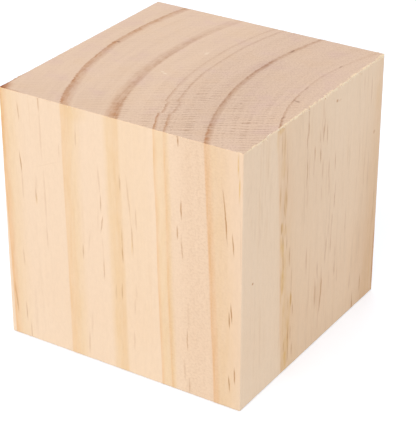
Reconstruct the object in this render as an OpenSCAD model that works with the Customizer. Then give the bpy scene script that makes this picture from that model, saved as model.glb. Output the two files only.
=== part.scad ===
// Small softwood block, cut to a cube from one straight-grained lath.
// The grain runs upwards, so the two sawn ends are the top and the base.
// Millimetres. The origin is the centre of the base, with +Z up along the grain.

/* [Block] */
// Width across the lath, from side to side
block_w = 30; // [12:0.5:80]
// Depth across the lath, from front to back
block_d = 30; // [12:0.5:80]
// Height along the grain, from sawn end to sawn end
block_h = 30; // [12:0.5:80]

/* [Eased edges] */
// Radius of the four upright edges, which the planer left and sanding softened
long_edge_r = 0.3; // [0.05:0.05:3]
// Radius of the eight edges round the two sawn ends
end_edge_r = 0.2; // [0.05:0.05:3]

/* [Finish] */
// Colour of the bare planed wood
wood_colour = "BurlyWood"; // [BurlyWood, Wheat, Moccasin, NavajoWhite]

/* [Hidden] */
// Segments of each full circle that an edge radius is cut from
$fn = 48;

// A rectangle about the origin whose four corners are quarter circles.
module eased_rectangle(across, along, corner_r) {
    square([across - 2 * corner_r, along], center = true);
    square([across, along - 2 * corner_r], center = true);
    for (side = [-1, 1], end = [-1, 1])
        translate([side * (across / 2 - corner_r), end * (along / 2 - corner_r)])
            circle(r = corner_r);
}

// The lath's own section, seen along the grain: it rounds the upright edges.
module lath_section() {
    linear_extrude(block_h)
        eased_rectangle(block_w, block_d, long_edge_r);
}

// The block seen from the front: it rounds the end edges at the left and right.
module front_outline() {
    translate([0, block_d / 2, block_h / 2])
        rotate([90, 0, 0])
            linear_extrude(block_d)
                eased_rectangle(block_w, block_h, end_edge_r);
}

// The block seen from the right: it rounds the end edges at the front and back.
module side_outline() {
    translate([-block_w / 2, 0, block_h / 2])
        rotate([90, 0, 90])
            linear_extrude(block_w)
                eased_rectangle(block_d, block_h, end_edge_r);
}

// One solid piece of wood, which is what the three outlines have in common.
module block() {
    color(wood_colour)
        intersection() {
            lath_section();
            front_outline();
            side_outline();
        }
}

block();
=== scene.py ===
# %% [markdown]
# # A small softwood cube
#
# A craft cube looks like the simplest thing to model, and its shape is: six flat faces and
# twelve edges. What makes it wood is that one pattern runs right through it. The same yearly
# rings that draw arcs on the sawn top come out as upright bands on the planed sides, and they
# meet at every edge. So the work here is less in the shape than in the figure of the wood.
#
# The steps are the camera, the light, the rings, the finish of the sawn ends, that of the
# planed sides, the block itself, and the loose fibres that a saw leaves along an edge.

import math
import random
from collections import namedtuple

import bmesh
import bpy
from mathutils import Matrix, Vector, noise


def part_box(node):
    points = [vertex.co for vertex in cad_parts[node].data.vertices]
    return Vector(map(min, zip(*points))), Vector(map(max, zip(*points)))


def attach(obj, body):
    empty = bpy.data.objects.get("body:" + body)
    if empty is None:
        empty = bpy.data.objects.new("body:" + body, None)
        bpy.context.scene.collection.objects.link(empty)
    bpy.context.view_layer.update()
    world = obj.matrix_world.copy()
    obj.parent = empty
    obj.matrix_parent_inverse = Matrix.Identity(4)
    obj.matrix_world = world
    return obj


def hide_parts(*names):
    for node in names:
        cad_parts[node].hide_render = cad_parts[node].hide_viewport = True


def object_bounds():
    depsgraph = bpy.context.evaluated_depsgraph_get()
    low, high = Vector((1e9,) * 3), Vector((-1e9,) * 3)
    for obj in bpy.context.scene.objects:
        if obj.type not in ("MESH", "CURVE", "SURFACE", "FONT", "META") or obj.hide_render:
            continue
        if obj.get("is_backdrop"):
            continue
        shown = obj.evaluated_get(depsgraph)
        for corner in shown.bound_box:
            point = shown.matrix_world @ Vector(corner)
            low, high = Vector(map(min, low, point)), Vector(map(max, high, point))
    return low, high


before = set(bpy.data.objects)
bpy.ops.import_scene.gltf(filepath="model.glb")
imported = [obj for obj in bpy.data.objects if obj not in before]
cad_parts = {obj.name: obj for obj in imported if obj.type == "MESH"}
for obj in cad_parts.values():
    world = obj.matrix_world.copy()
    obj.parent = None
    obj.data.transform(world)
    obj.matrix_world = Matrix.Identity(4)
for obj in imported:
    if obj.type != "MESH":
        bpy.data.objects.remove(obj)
cad_low, cad_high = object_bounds()

MM = 0.001  # one millimetre, in Blender's metres
block_low, block_high = (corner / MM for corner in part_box("block"))
block_size = block_high - block_low
block_middle = (block_high + block_low) / 2
print("block, mm:", [round(side, 2) for side in block_size])

# %% [markdown]
# ## The camera
#
# Something this small looks most natural through a long lens, because edges that are parallel
# on the cube then stay nearly parallel in the picture. A long lens is one with a small angle
# of view, so it is given here by what a pixel sees: the focal length counted in pixels of the
# picture, which turns into millimetres of lens once the sensor has a size.
#
# The camera's place is a turn and a rise round the point that it looks at, and a distance from
# it. Those are the numbers that one would change to walk round the cube. The same two helpers
# aim the lamps later on.

# %% Where the camera stands
CAMERA_TURN = 32.16  # degrees round the cube from its front face, towards its right face
CAMERA_RISE = 27.86  # degrees above the bench
CAMERA_ROLL = 0.21  # degrees, turning the camera against the clock
CAMERA_REACH = 185.4  # mm from the camera to the point that it looks at
LOOK_AT = (1.53, 0.03, 13.21)  # mm
FOCAL_PIXELS = 1660.3
PICTURE_HEIGHT = 423  # pixels
SENSOR = 36.0  # mm along the picture's longer side


def pointing(turn, rise_angle):
    """The direction from the cube towards something at this turn and rise, in degrees."""
    a, e = math.radians(turn), math.radians(rise_angle)
    return Vector((math.sin(a) * math.cos(e), -math.cos(a) * math.cos(e), math.sin(e)))


def aimed(place, target, roll=0.0):
    """A matrix that puts a camera or lamp at place, with its -Z axis on target."""
    turn = (Vector(target) - Vector(place)).to_track_quat("-Z", "Y").to_matrix().to_4x4()
    return Matrix.Translation(place) @ turn @ Matrix.Rotation(math.radians(roll), 4, "Z")


print("towards the camera:", [round(c, 2) for c in pointing(CAMERA_TURN, CAMERA_RISE)])


# %% Place the camera
def add_camera():
    """The one camera, at the angle that a buyer sees the cube from."""
    data = bpy.data.cameras.new("camera")
    data.sensor_width = SENSOR
    data.lens = FOCAL_PIXELS / PICTURE_HEIGHT * SENSOR
    data.clip_start, data.clip_end = 1 * MM, 100000 * MM
    camera = bpy.data.objects.new("camera", data)
    bpy.context.scene.collection.objects.link(camera)
    target = Vector(LOOK_AT) * MM
    place = target + pointing(CAMERA_TURN, CAMERA_RISE) * CAMERA_REACH * MM
    camera.matrix_world = aimed(place, target, CAMERA_ROLL)
    bpy.context.scene.camera = camera
    print("lens, mm:", round(data.lens, 1))


add_camera()

# %% [markdown]
# ## Nodes that read like a formula
#
# The world, the floor and every finish are trees of shader nodes. Adding nodes one at a time
# takes many lines and hides the idea. So each helper here adds one node, sets or links what
# goes into it, and hands back its result, which the next helper can take. A finish can then be
# read from top to bottom like a formula.
#
# Colours are mostly changed by multiplying them with a tint near 1, because that is what resin,
# dust and depth do to wood: they take a share of the light away and leave the rest.

# %% Helpers for numbers and vectors
def add_node(tree, kind, inputs=None, **options):
    """Add one node, set its options, and set or link each named input."""
    node = tree.nodes.new(kind)
    count = len(tree.nodes)
    node.location = (220 * (count // 6), -190 * (count % 6))
    for option, value in options.items():
        setattr(node, option, value)
    for socket, value in (inputs or {}).items():
        if isinstance(value, bpy.types.NodeSocket):
            tree.links.new(value, node.inputs[socket])
        else:
            node.inputs[socket].default_value = value
    return node


def maths(tree, operation, first, second=0.0, third=0.0, clamp=False):
    """One Math node's result."""
    inputs = {0: first, 1: second, 2: third}
    node = add_node(tree, "ShaderNodeMath", inputs, operation=operation, use_clamp=clamp)
    return node.outputs[0]


def vector_maths(tree, operation, first, second=(0.0, 0.0, 0.0)):
    """One Vector Math node's result: a number for a length or dot product, or a vector."""
    inputs = {0: first, 1: second}
    node = add_node(tree, "ShaderNodeVectorMath", inputs, operation=operation)
    return node.outputs["Value" if operation in ("LENGTH", "DOT_PRODUCT") else "Vector"]


def scaled(tree, vector, factor):
    """A vector times a number."""
    inputs = {0: vector, "Scale": factor}
    return add_node(tree, "ShaderNodeVectorMath", inputs, operation="SCALE").outputs["Vector"]


def rise(tree, value, start, end, low=0.0, high=1.0):
    """A smooth step from low at start to high at end. It falls if end is under start."""
    inputs = {"Value": value, "From Min": start, "From Max": end, "To Min": low, "To Max": high}
    node = add_node(tree, "ShaderNodeMapRange", inputs, interpolation_type="SMOOTHSTEP")
    return node.outputs["Result"]


print("helpers for numbers: maths, vector_maths, scaled, rise")


# %% Helpers for colours and soft noise
def tinted(tree, factor, colour, tint):
    """colour multiplied by tint, as far as factor says. A factor above 1 goes further."""
    inputs = {"Factor": factor, 6: colour, 7: tint}
    options = {"data_type": "RGBA", "blend_type": "MULTIPLY", "clamp_factor": False}
    return add_node(tree, "ShaderNodeMix", inputs, **options).outputs[2]


def blended(tree, factor, colour, other):
    """colour changed to other, as far as factor says."""
    inputs = {"Factor": factor, 6: colour, 7: other}
    node = add_node(tree, "ShaderNodeMix", inputs, data_type="RGBA")
    return node.outputs[2]


def cloud(tree, place, scale, stretch=(1.0, 1.0, 1.0), detail=2.0, roughness=0.5):
    """Soft noise from 0 to 1. stretch is how fast it changes along each axis."""
    where = vector_maths(tree, "MULTIPLY", place, stretch)
    inputs = {"Vector": where, "Scale": scale, "Detail": detail, "Roughness": roughness}
    return add_node(tree, "ShaderNodeTexNoise", inputs).outputs["Fac"]


def linear(red, green, blue):
    """A screen colour in steps of 0 to 255, as the linear colour that a shader takes."""
    steps = [step / 255 for step in (red, green, blue)]
    return [s / 12.92 if s <= 0.04045 else ((s + 0.055) / 1.055) ** 2.4 for s in steps] + [1.0]


print("mid grey on the screen, as a linear colour:", round(linear(128, 128, 128)[0], 3))

# %% [markdown]
# ## The room's light
#
# Soft light from all round shows wood well, with the front brightest, the top next and the
# right side a shade darker. That shade is what makes a plain box read as solid. Most of the
# light is the room's own, from a world that is even all round, so that no side goes dark when
# the cube is turned. The camera sees the world as pure white, but the cube is lit by less than
# that, so that pale wood doesn't burn out.

# %% World
ROOM_LIGHT = 0.78  # of the light that would render a white card as white
ROOM_TINT = (0.966, 1.0, 1.04)


def seen_directly(tree):
    """1 for what the camera sees straight, in a mirror or through glass, and otherwise 0."""
    path = add_node(tree, "ShaderNodeLightPath")
    seen = maths(tree, "MAXIMUM", path.outputs["Is Camera Ray"], path.outputs["Is Glossy Ray"])
    return maths(tree, "MAXIMUM", seen, path.outputs["Is Transmission Ray"])


def make_world():
    """Even light from all sides, which the camera sees as a white background."""
    world = bpy.data.worlds.new("studio")
    world.use_nodes = True
    tree = world.node_tree
    tree.nodes.clear()
    room_colour = [ROOM_LIGHT * tint for tint in ROOM_TINT] + [1.0]
    room = add_node(tree, "ShaderNodeBackground", {"Color": room_colour})
    white = add_node(tree, "ShaderNodeBackground", {"Color": (1, 1, 1, 1)})
    inputs = {0: seen_directly(tree), 1: room.outputs[0], 2: white.outputs[0]}
    mix = add_node(tree, "ShaderNodeMixShader", inputs)
    add_node(tree, "ShaderNodeOutputWorld", {"Surface": mix.outputs[0]})
    bpy.context.scene.world = world


make_world()
bpy.context.scene.view_settings.view_transform = "Standard"
print("world:", bpy.context.scene.world.name, "at", ROOM_LIGHT)

# %% [markdown]
# ## Two lamps
#
# One large warm lamp stands in front and a weaker white one behind. Both are wide for their
# distance, so that their shadows are soft. Watts are hard to judge, so a lamp's power is given
# as a share of the light that would render a white card as white. Together with the room's
# light, a face then renders about as its colour is written.

# %% Lamps
KEY_TURN, KEY_RISE = 13.0, 45.0  # degrees
KEY_POWER = 0.36  # of full light, on a face that looks straight at the lamp
KEY_TINT = (1.0, 0.885, 0.78)
FILL_TURN, FILL_RISE = 215.0, 35.0
FILL_POWER = 0.14
FILL_TINT = (1.0, 1.0, 1.0)
LAMP_REACH = 400.0  # mm from the cube to a lamp's middle
LAMP_SIDE = 260.0  # mm


def add_lamp(name, turn, rise_angle, power, tint):
    """A square soft lamp. A card at the cube that faces it gets this share of full light."""
    data = bpy.data.lights.new(name, "AREA")
    data.size = LAMP_SIDE * MM
    # A small flat lamp of W watts lights a card at distance d by W / (pi d d) per pi.
    data.energy = power * (math.pi * LAMP_REACH * MM) ** 2
    data.color = tint
    lamp = bpy.data.objects.new(name, data)
    bpy.context.scene.collection.objects.link(lamp)
    middle = block_middle * MM
    place = middle + pointing(turn, rise_angle) * LAMP_REACH * MM
    lamp.matrix_world = aimed(place, middle)
    print(name, "lamp, W:", round(data.energy, 3))


add_lamp("key", KEY_TURN, KEY_RISE, KEY_POWER, KEY_TINT)
add_lamp("fill", FILL_TURN, FILL_RISE, FILL_POWER, FILL_TINT)

# %% [markdown]
# ## The floor
#
# A white sweep of paper has no visible edge. A plane has one, unless it is wide and as bright
# as the background. So the floor gets a little light of its own that only the camera sees,
# which hides its edge but leaves the soft shadow under the cube. It lies a hair below the
# base, because two faces in one plane flicker.

# %% Floor
FLOOR_SIDE = 3000.0  # mm
FLOOR_GAP = 0.02  # mm
FLOOR_COLOUR = (0.80, 0.84, 0.91)
FLOOR_LIFT = 0.29  # light that only the camera sees


def floor_material():
    """White paper that glows a little for the camera."""
    material = bpy.data.materials.new("white_sweep")
    material.use_nodes = True
    tree = material.node_tree
    tree.nodes.clear()
    paint = add_node(tree, "ShaderNodeBsdfDiffuse", {"Color": (*FLOOR_COLOUR, 1.0)})
    lift = maths(tree, "MULTIPLY", seen_directly(tree), FLOOR_LIFT)
    glow = add_node(tree, "ShaderNodeEmission", {"Strength": lift})
    both = add_node(tree, "ShaderNodeAddShader", {0: paint.outputs[0], 1: glow.outputs[0]})
    add_node(tree, "ShaderNodeOutputMaterial", {"Surface": both.outputs[0]})
    return material


def add_floor():
    """A wide white floor that keeps the cube's shadow."""
    bm = bmesh.new()
    bmesh.ops.create_grid(bm, x_segments=1, y_segments=1, size=FLOOR_SIDE / 2 * MM)
    bmesh.ops.translate(bm, verts=bm.verts, vec=(0, 0, -FLOOR_GAP * MM))
    mesh = bpy.data.meshes.new("floor")
    bm.to_mesh(mesh)
    bm.free()
    floor = bpy.data.objects.new("floor", mesh)
    bpy.context.scene.collection.objects.link(floor)
    mesh.materials.append(floor_material())
    floor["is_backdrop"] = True
    print("floor side, m:", FLOOR_SIDE * MM)


add_floor()

# %% [markdown]
# ## The yearly rings
#
# Each year a softwood tree lays down pale, quick early wood and then a thin dark line of late
# wood. The line starts softly and stops sharply, because the next year's growth starts
# suddenly. The heart of this tree lay well outside the block, beyond its right side, so each
# ring crosses the top as a shallow arc, and the arcs bulge to the left.
#
# A Wave or a ready-made wood texture repeats its rings evenly, and no tree does. So every
# ring is written down by itself, as a joiner would measure it: where the arc reaches furthest
# left, how far it bends, how thick its dark line is, and on which side that line is sharp.
# The entries called a wash or a lead are the faint colour beside their ring. All rings lean a
# little, because a lath is never cut quite along the grain.

# %% The rings of this block
OUTSIDE, INSIDE = -1.0, 1.0  # the side of a ring on which its dark line ends sharply

# Each ring has a name, the place of its sharp edge where the arc reaches furthest left, its
# bend radius, the side that is sharp, how far it leans to the right on its way down, and over
# what length its sharp side ends. On the sawn ends it is a dark line with a thickness, a body
# (above 1 it keeps its darkness for longer before it fades), and a strength near the front,
# in the middle and at the back. On the planed sides it has a dark core and a yellow band,
# each with a strength. The band is full as far as flat and gone at fade, and the base has low
# times its strength. Sizes are in mm, and a strength of 1 is a full dark line or a full band.
# The first line of an entry ends with the body, and the second holds the strengths.
Ring = namedtuple(
    "Ring", "name x y bend sharp lean soft thick body near mid far core band flat fade low"
)
RINGS = [Ring(*sizes) for sizes in (
    ("corner", -19.70, 4.3, 42, OUTSIDE, 0.5, 0.15, 0.95, 1,
     1.5, 1, 1, 1.5, 0.8, 0.7, 2.8, 0.95),
    ("first", -12.22, 5.2, 42.4, OUTSIDE, 0.45, 0.2, 1.3, 1.5,
     1, 1, 0.95, 0.5, 0.85, 1, 2.4, 1.1),
    ("second", -4.50, 4.2, 41.8, INSIDE, 0.85, 0.38, 1.65, 2,
     0.95, 0.65, 0.35, 0.25, 0.95, 1.1, 2, 1.1),
    ("second_wash", -4.5, 4.2, 41.8, OUTSIDE, 0.85, 0.3, 1, 1,
     0, 0, 0, 0, 0.35, 2, 4.5, 0.4),
    ("twin", -0.38, 4.2, 41.1, OUTSIDE, 0.9, 0.12, 0.43, 1,
     1.15, 0.42, 0.5, 0.8, 0.72, 1.3, 1.8, 1.3),
    ("other_twin", 0.82, 4.4, 41.7, OUTSIDE, 0.9, 0.2, 0.43, 1,
     0.95, 0.5, 0.5, 0.75, 0.2, 0.4, 0.8, 1.3),
    ("fourth_lead", 5.56, 4.1, 39.1, INSIDE, 1.3, 0.1, 1.7, 1,
     0.05, 0.15, 0.1, 0, 0, 0.1, 0.2, 1),
    ("fourth", 5.52, 4.1, 39.1, OUTSIDE, 1.3, 0.25, 0.8, 1.2,
     1.2, 1.35, 0.9, 1.2, 0.7, 1, 3.6, 1.2),
    ("fifth", 12.17, 4.2, 28.7, OUTSIDE, 0.75, 0.1, 0.38, 1,
     2.1, 0.55, 0.2, 0.2, 0.4, 0.75, 1.3, 2),
    ("fifth_wash", 12.2, 4.2, 28.7, OUTSIDE, 0.75, 0.7, 1, 1,
     0, 0, 0, 0, 0.45, 0, 3.2, 1.7),
)]
print("rings:", ", ".join(ring.name for ring in RINGS))

# %% [markdown]
# ## One ring as a shader group
#
# All rings are drawn in the same way, so one node group does it and each ring gives it its own
# sizes. A place is inside or outside the arc by its distance from the arc's centre, less the
# bend radius. From that one number come both the dark line, which fades as the wood gets
# softer, and the wide band that shows on the planed sides. The centre slides to the right on
# the way down, which gives the lean.

# %% A group that draws one ring
def new_group(name, inputs, outputs):
    """An empty shader group. inputs maps names to default values, outputs lists names."""
    tree = bpy.data.node_groups.new(name, "ShaderNodeTree")
    for label, value in inputs.items():
        kind = "NodeSocketVector" if isinstance(value, tuple) else "NodeSocketFloat"
        socket = tree.interface.new_socket(label, in_out="INPUT", socket_type=kind)
        socket.default_value = value
    for label in outputs:
        tree.interface.new_socket(label, in_out="OUTPUT", socket_type="NodeSocketFloat")
    return tree, add_node(tree, "NodeGroupInput").outputs, add_node(tree, "NodeGroupOutput")


def place_group(tree, group, **inputs):
    """Put a group into a tree. Its input names are written with underscores for spaces."""
    named = {label.replace("_", " "): value for label, value in inputs.items()}
    return add_node(tree, "ShaderNodeGroup", named, node_tree=group).outputs


def make_ring_group():
    """One yearly ring, as the share of dark line and of yellow band at a place in the log.

    Across holds x and y in mm, and in z how far down the place is, from 0 to 1. Slant moves
    the ring on its way down.
    """
    inputs = {
        "Across": (0.0, 0.0, 0.0), "Centre": (0.0, 0.0, 0.0), "Slant": (0.0, 0.0, 0.0),
        "Bend radius": 40.0, "Sharp side": OUTSIDE, "Softness": 0.1, "Thickness": 1.0,
        "Body": 1.0, "Flat": 0.5, "Fade": 2.0,
    }
    tree, given, result = new_group("yearly_ring", inputs, ["Line", "Band"])
    level = vector_maths(tree, "MULTIPLY", given["Across"], (1.0, 1.0, 0.0))
    down = vector_maths(tree, "DOT_PRODUCT", given["Across"], (0.0, 0.0, 1.0))
    slid = scaled(tree, given["Slant"], down)
    spoke = vector_maths(tree, "SUBTRACT", level, given["Centre"])
    spoke = vector_maths(tree, "SUBTRACT", spoke, slid)
    outward = maths(tree, "SUBTRACT", vector_maths(tree, "LENGTH", spoke), given["Bend radius"])
    depth = maths(tree, "MULTIPLY", outward, given["Sharp side"])
    half = maths(tree, "MULTIPLY", given["Softness"], 0.5)
    begun = rise(tree, depth, maths(tree, "MULTIPLY", half, -1.0), half)
    gone = maths(tree, "DIVIDE", depth, given["Thickness"], clamp=True)
    gone = maths(tree, "POWER", gone, given["Body"])
    line = maths(tree, "MULTIPLY", begun, maths(tree, "SUBTRACT", 1.0, gone))
    band = maths(tree, "MULTIPLY", begun, rise(tree, depth, given["Fade"], given["Flat"]))
    tree.links.new(line, result.inputs["Line"])
    tree.links.new(band, result.inputs["Band"])
    return tree


RING_GROUP = make_ring_group()
print("ring group:", len(RING_GROUP.nodes), "nodes")

# %% [markdown]
# ## All rings together
#
# The rings are placed one after the other and their masks are summed, three times over: the
# line on the sawn ends, and the core and the band on the planed sides. On an end a ring is
# stronger in one part than in another, so its strength slides from the front over the middle
# to the back. On a side it may grow or fade towards the base.

# %% The sum of the rings
NEAR_Y, MIDDLE_Y, FAR_Y = -15.0, 3.0, 14.0  # mm, where a ring has its three strengths
THIN_SHARE = 0.8  # of its thickness at the front, that a line keeps from the middle on


def ring_sums(tree, across, y, down):
    """The dark lines of the ends, and the cores and bands of the sides, for all rings."""
    near = rise(tree, y, MIDDLE_Y, NEAR_Y)
    far = rise(tree, y, MIDDLE_Y, FAR_Y)
    fullness = maths(tree, "MULTIPLY_ADD", near, 1 - THIN_SHARE, THIN_SHARE)
    sums = {"End line": 0.0, "Core": 0.0, "Band": 0.0}
    for ring in RINGS:
        drawn = place_group(
            tree, RING_GROUP, Across=across, Centre=(ring.x + ring.bend, ring.y, 0.0),
            Slant=(ring.lean, 0.0, 0.0), Bend_radius=ring.bend, Sharp_side=ring.sharp,
            Softness=ring.soft, Thickness=maths(tree, "MULTIPLY", fullness, ring.thick),
            Body=ring.body, Flat=ring.flat, Fade=ring.fade,
        )
        drawn[0].node.label = ring.name
        end = maths(tree, "MULTIPLY_ADD", near, ring.near - ring.mid, ring.mid)
        end = maths(tree, "MULTIPLY_ADD", far, ring.far - ring.mid, end)
        side = maths(tree, "MULTIPLY_ADD", down, ring.low - 1, 1.0)
        parts = [
            ("End line", drawn["Line"], end),
            ("Core", drawn["Line"], maths(tree, "MULTIPLY", side, ring.core)),
            ("Band", drawn["Band"], maths(tree, "MULTIPLY", side, ring.band)),
        ]
        for name, mask, strength in parts:
            sums[name] = maths(tree, "MULTIPLY_ADD", mask, strength, sums[name])
    return sums


print("a ring's line, from front to back:", 1.0, "to", THIN_SHARE, "of its thickness")

# %% [markdown]
# ## What else runs through the wood
#
# Between the rings there are the faint lines of slower weeks within a year, which follow the
# rings, and fibres, grain and hairlines, which run straight up. All of them are soft noise,
# drawn out along the grain, so that it looks like grain on the sides and like cells on an
# end. The wood also darkens a little towards the heart of the tree.

# %% Finer lines, and how near the heart is
LOG_HEART = (43.0, 4.2, 0.0)  # mm, about where the tree's heart lay
HEART_REACH = (45.0, 41.5)  # mm from the heart, between which the sawn ends turn darker
SIDE_HEART_REACH = (43.0, 39.0)  # the same for the planed sides
INNER_REACH = (31.5, 29.0)  # mm from the heart, where the innermost wood of the block begins
SLOW_LINES = 1.5  # faint lines for each mm
FILAMENTS = 4.5  # for each mm, which split a ring's line
GRAIN_LINES = 1.2  # for each mm
HAIRLINES = 1.9  # for each mm, of which only the darkest few show
GRAIN_PATCHES = 0.25  # for each mm, where grain and hairlines show more


def combined(tree, x=0.0, y=0.0, z=0.0):
    """A vector from three numbers."""
    return add_node(tree, "ShaderNodeCombineXYZ", {"X": x, "Y": y, "Z": z}).outputs[0]


def finer_lines(tree, log, y, z, down):
    """The masks of all that isn't a ring or a fibre."""
    level = vector_maths(tree, "MULTIPLY", log, (1, 1, 0))
    spoke = vector_maths(tree, "LENGTH", vector_maths(tree, "SUBTRACT", level, LOG_HEART))
    ring_wise = combined(
        tree, spoke, maths(tree, "MULTIPLY", y, 0.06), maths(tree, "MULTIPLY", z, 0.012)
    )
    grain = cloud(tree, log, GRAIN_LINES, (1, 1, 0.07), detail=4.0, roughness=0.72)
    hairs = cloud(tree, log, HAIRLINES, (1, 1, 0.035), detail=3.0, roughness=0.6)
    patches = cloud(tree, log, GRAIN_PATCHES, (1, 1, 0.4), detail=1.0)
    patches = rise(tree, patches, 0.4, 0.6, 0.2, 1.2)
    return {
        "Heart": rise(tree, spoke, *HEART_REACH),
        "Side heart": rise(tree, spoke, *SIDE_HEART_REACH),
        "Inner": maths(tree, "MULTIPLY", rise(tree, spoke, *INNER_REACH), down),
        "Slow lines": cloud(tree, ring_wise, SLOW_LINES, detail=3.0, roughness=0.7),
        "Filament": cloud(tree, ring_wise, FILAMENTS, detail=1.0),
        "Grain": maths(tree, "MULTIPLY", rise(tree, grain, 0.48, 0.72), patches),
        "Hairline": maths(tree, "MULTIPLY", rise(tree, hairs, 0.60, 0.74), patches),
    }


print("heart of the tree, mm:", LOG_HEART)

# %% [markdown]
# ## The figure of the wood
#
# Everything that runs through the wood is gathered in one group, the figure, which both
# finishes read. It works in millimetres, in the log's own space, where the grain stands
# upright. A slow noise bends the rings a little and a fine one, the fibres, frays their edges.
# Because the sides and the ends read the same group, a ring that reaches an arris goes on
# round it.

# %% The figure group
GRAIN_LEAN = 1.0  # mm that the grain as a whole moves to the right from the top to the base
SWAY = 0.35  # mm that the grain wanders from straight
FRAY = 0.16  # mm by which fibres break up the edge of a ring
FIBRES = 3.2  # fibres for each mm


def separated(tree, vector):
    """The three numbers of a vector."""
    return list(add_node(tree, "ShaderNodeSeparateXYZ", {0: vector}).outputs)


def as_millimetres(tree, place):
    """Object coordinates, which are in metres, in mm."""
    return vector_maths(tree, "MULTIPLY", place, (1 / MM, 1 / MM, 1 / MM))


def make_figure_group():
    """All that runs through the wood, as masks that the two finishes colour."""
    outputs = ["End line", "Core", "Band", "Heart", "Side heart", "Inner", "Slow lines",
               "Filament", "Fibre", "Grain", "Hairline"]
    tree, given, result = new_group("pine_figure", {"Place": (0.0, 0.0, 0.0)}, outputs)
    in_mm = as_millimetres(tree, given["Place"])
    x, y, z = separated(tree, in_mm)
    down = maths(tree, "MULTIPLY_ADD", z, -1 / block_size.z, block_high.z / block_size.z)
    swing = cloud(tree, in_mm, 0.13, (1, 1, 0.5), detail=1.0)
    swayed = maths(tree, "MULTIPLY_ADD", maths(tree, "SUBTRACT", swing, 0.5), SWAY, x)
    upright = maths(tree, "MULTIPLY_ADD", down, -GRAIN_LEAN, swayed)
    log = combined(tree, upright, y, z)
    fibre = cloud(tree, log, FIBRES, (1, 1, 0.03), detail=3.0, roughness=0.6)
    fray = maths(tree, "SUBTRACT", fibre, 0.5)
    across = combined(tree, maths(tree, "MULTIPLY_ADD", fray, FRAY, swayed), y, down)
    masks = {"Fibre": fibre}
    masks.update(ring_sums(tree, across, y, down))
    masks.update(finer_lines(tree, log, y, z, down))
    for name, mask in masks.items():
        tree.links.new(mask, result.inputs[name])
    return tree


FIGURE_GROUP = make_figure_group()
print("figure group:", len(FIGURE_GROUP.nodes), "nodes")

# %% [markdown]
# ## Worn arrises and their painted highlight
#
# An arris is the line where two faces meet. It is the first thing that gets rubbed, and on a
# sawn end the blade crushes and lifts the fibres there, which makes it paler. The pale line
# that this group marks out is also a painted highlight, for the light that a rounded arris
# catches. The group finds an arris from the place alone: near one, two of the three distances
# to the block's faces are small, so the middle one of the three tells how far away it is.

# %% The arris group
def make_arris_group():
    """How near a place is to an arris: 1 on it, and 0 from the given width on."""
    inputs = {"Place": (0.0, 0.0, 0.0), "Width": 0.3}
    tree, given, result = new_group("arris_wear_and_highlight", inputs, ["Mask"])
    in_mm = as_millimetres(tree, given["Place"])
    from_middle = vector_maths(tree, "SUBTRACT", in_mm, tuple(block_middle))
    reach = vector_maths(tree, "ABSOLUTE", from_middle)
    a, b, c = separated(tree, vector_maths(tree, "SUBTRACT", tuple(block_size / 2), reach))
    larger = maths(tree, "MAXIMUM", a, b)
    middle = maths(tree, "MINIMUM", larger, c)
    middle = maths(tree, "MAXIMUM", maths(tree, "MINIMUM", a, b), middle)
    rough = cloud(tree, in_mm, 1.6, detail=2.0)
    frayed = maths(tree, "MULTIPLY_ADD", maths(tree, "SUBTRACT", rough, 0.5), 0.3, middle)
    tree.links.new(rise(tree, frayed, given["Width"], 0.0), result.inputs["Mask"])
    return tree


ARRIS_GROUP = make_arris_group()
print("arris group:", len(ARRIS_GROUP.nodes), "nodes")

# %% [markdown]
# ## Small marks in the wood
#
# Specks, scratches, resin canals and burnt or darker places are real marks on this block, and
# each has its own place. Painting them would need an image. Here each is an ellipsoid in the
# wood, with a centre, three half sizes and a strength, drawn by one more group. A canal also
# leans, so the group lets a mark run to the side as it rises. The list of a face's marks then
# reads like a joiner's notes on the faults of a board.

# %% A group for one small mark
def make_mark_group():
    """A spindle-shaped mark in the wood: 1 at its heart, 0 outside its half sizes.

    Run is how far it moves to the side for each mm that it rises.
    """
    inputs = {"In mm": (0.0, 0.0, 0.0), "Centre": (0.0, 0.0, 0.0),
              "Fineness": (1.0, 1.0, 1.0), "Run": (0.0, 0.0, 0.0)}
    tree, given, result = new_group("small_mark", inputs, ["Mask"])
    spoke = vector_maths(tree, "SUBTRACT", given["In mm"], given["Centre"])
    rise_here = vector_maths(tree, "DOT_PRODUCT", spoke, (0.0, 0.0, 1.0))
    straight = vector_maths(tree, "SUBTRACT", spoke, scaled(tree, given["Run"], rise_here))
    reach = vector_maths(tree, "MULTIPLY", straight, given["Fineness"])
    reach = vector_maths(tree, "LENGTH", reach)
    tree.links.new(rise(tree, reach, 1.0, 0.3), result.inputs["Mask"])
    return tree


MARK_GROUP = make_mark_group()
TOP_Z = 30.0  # mm, where the top end is
Mark = namedtuple("Mark", "centre half_sizes run strength", defaults=[(0, 0, 0), 1.0])


def marked(tree, in_mm, marks):
    """The sum of some small marks."""
    total = 0.0
    for mark in marks:
        fineness = tuple(1 / half for half in mark.half_sizes)
        mask = place_group(
            tree, MARK_GROUP, In_mm=in_mm, Centre=mark.centre, Fineness=fineness, Run=mark.run
        )
        total = maths(tree, "MULTIPLY_ADD", mask["Mask"], mark.strength, total)
    return total


def end_marks(sizes, depth):
    """Marks on the top end, from x, y, half width, half length and strength."""
    return [Mark((x, y, TOP_Z), (width, length, depth), strength=strength)
            for x, y, width, length, strength in sizes]


print("mark group:", len(MARK_GROUP.nodes), "nodes")

# %% [markdown]
# ## The sawn ends: how the teeth dragged the figure
#
# On the top and base the saw cut straight across the fibres. Each tooth drags the fibres a
# little way along its run, so that a ring's edge is serrated. There is no need to model that:
# the place that the figure is read at is shifted along the saw marks, by an amount that
# changes from one mark to the next. In one narrow strip the saw wandered, and the thin twin
# rings there slipped to the side by about a third of a millimetre.

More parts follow.
